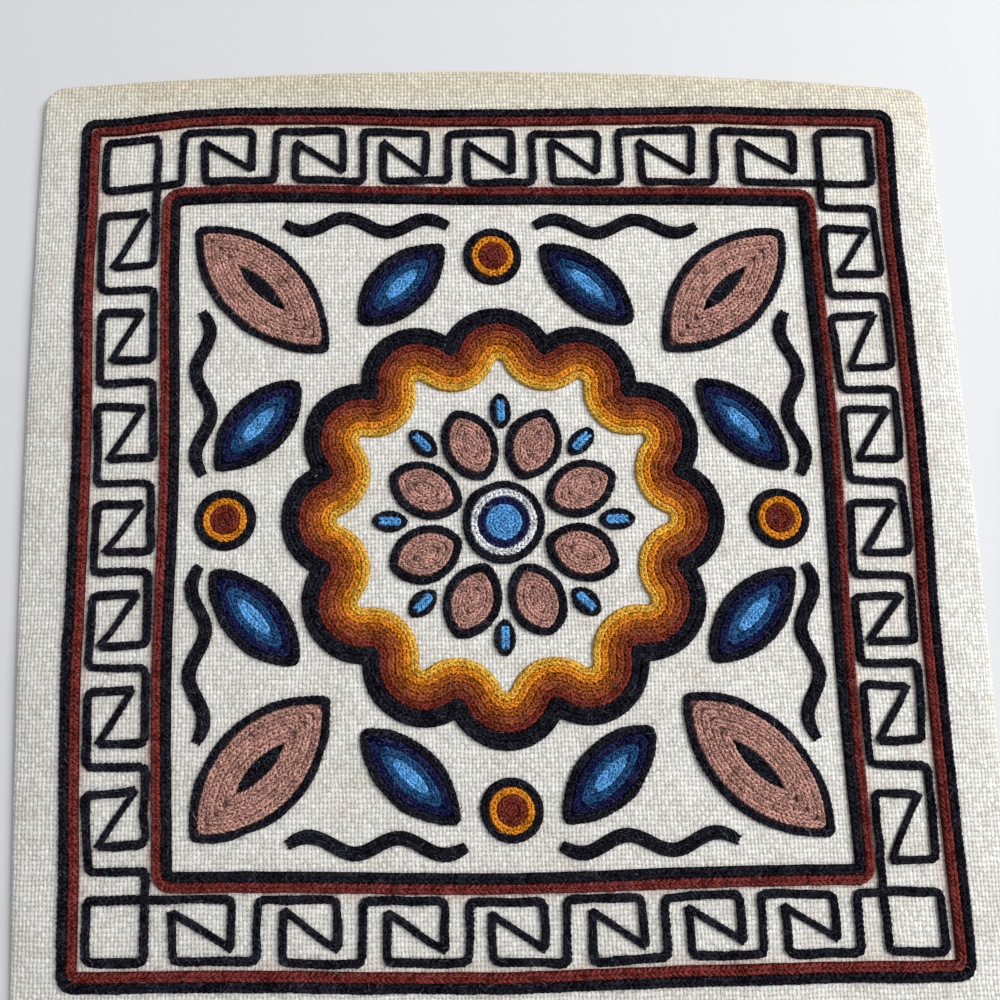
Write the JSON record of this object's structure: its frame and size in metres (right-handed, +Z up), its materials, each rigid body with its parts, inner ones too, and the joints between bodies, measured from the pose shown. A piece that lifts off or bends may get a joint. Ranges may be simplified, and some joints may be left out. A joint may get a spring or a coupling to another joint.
{
  "type": "embroidered pillow cover, empty and laid flat",
  "caption": "Empty square pillow cover of undyed cotton, laid flat, its front worked in wool chain stitch with a key border and a flower design.",
  "frame": {"origin": "under the middle of the cover, on the surface it lies on", "axes": "+Z up out of the embroidered face, +X to the right and +Y to the top of the design as it is read"},
  "size_m": [0.4569, 0.4586, 0.0079],
  "materials": {
    "cloth": "plain-woven undyed cotton, matt, faintly stained",
    "yarn_black": "blue-black wool yarn, chain stitch, matt and slightly fuzzy",
    "yarn_red": "brick red wool yarn, chain stitch, matt and slightly fuzzy",
    "yarn_maroon": "maroon wool yarn, chain stitch",
    "yarn_rust": "rust brown wool yarn, chain stitch",
    "yarn_orange": "orange brown wool yarn, chain stitch",
    "yarn_amber": "amber wool yarn, chain stitch",
    "yarn_gold": "pale gold wool yarn, chain stitch",
    "yarn_pink": "dusty pink wool yarn, chain stitch",
    "yarn_navy": "navy wool yarn, chain stitch",
    "yarn_blue": "mid blue wool yarn, chain stitch",
    "yarn_light_blue": "light blue wool yarn, chain stitch",
    "yarn_white": "off-white wool yarn, chain stitch"
  },
  "bodies": {
    "root": {"back_panel": "cloth", "blue_leaf_1a": "yarn_blue", "blue_leaf_1b": "yarn_blue", "blue_leaf_2a": "yarn_blue", "blue_leaf_2b": "yarn_blue", "blue_leaf_3a": "yarn_blue", "blue_leaf_3b": "yarn_blue", "blue_leaf_4a": "yarn_blue", "blue_leaf_4b": "yarn_blue", "corner_leaf_1": "yarn_pink", "corner_leaf_2": "yarn_pink", "corner_leaf_3": "yarn_pink", "corner_leaf_4": "yarn_pink", "disc_1": "yarn_amber", "disc_2": "yarn_amber", "disc_3": "yarn_amber", "disc_4": "yarn_amber", "flower_centre": "yarn_light_blue", "frame_inner_black": "yarn_black", "frame_inner_red": "yarn_red", "frame_outer_black": "yarn_black", "frame_outer_red": "yarn_red", "front_panel": "cloth", "key_bottom": "yarn_black", "key_left": "yarn_black", "key_right": "yarn_black", "key_top": "yarn_black", "petal_1": "yarn_pink", "petal_2": "yarn_pink", "petal_3": "yarn_pink", "petal_4": "yarn_pink", "petal_5": "yarn_pink", "petal_6": "yarn_pink", "petal_7": "yarn_pink", "petal_8": "yarn_pink", "rosette_amber": "yarn_amber", "rosette_black": "yarn_black", "rosette_rust": "yarn_rust", "seed_1": "yarn_light_blue", "seed_2": "yarn_light_blue", "seed_3": "yarn_light_blue", "seed_4": "yarn_light_blue", "seed_5": "yarn_light_blue", "seed_6": "yarn_light_blue", "seed_7": "yarn_light_blue", "seed_8": "yarn_light_blue", "tendril_1a": "yarn_black", "tendril_1b": "yarn_black", "tendril_2a": "yarn_black", "tendril_2b": "yarn_black", "tendril_3a": "yarn_black", "tendril_3b": "yarn_black", "tendril_4a": "yarn_black", "tendril_4b": "yarn_black"}
  },
  "joints": []
}
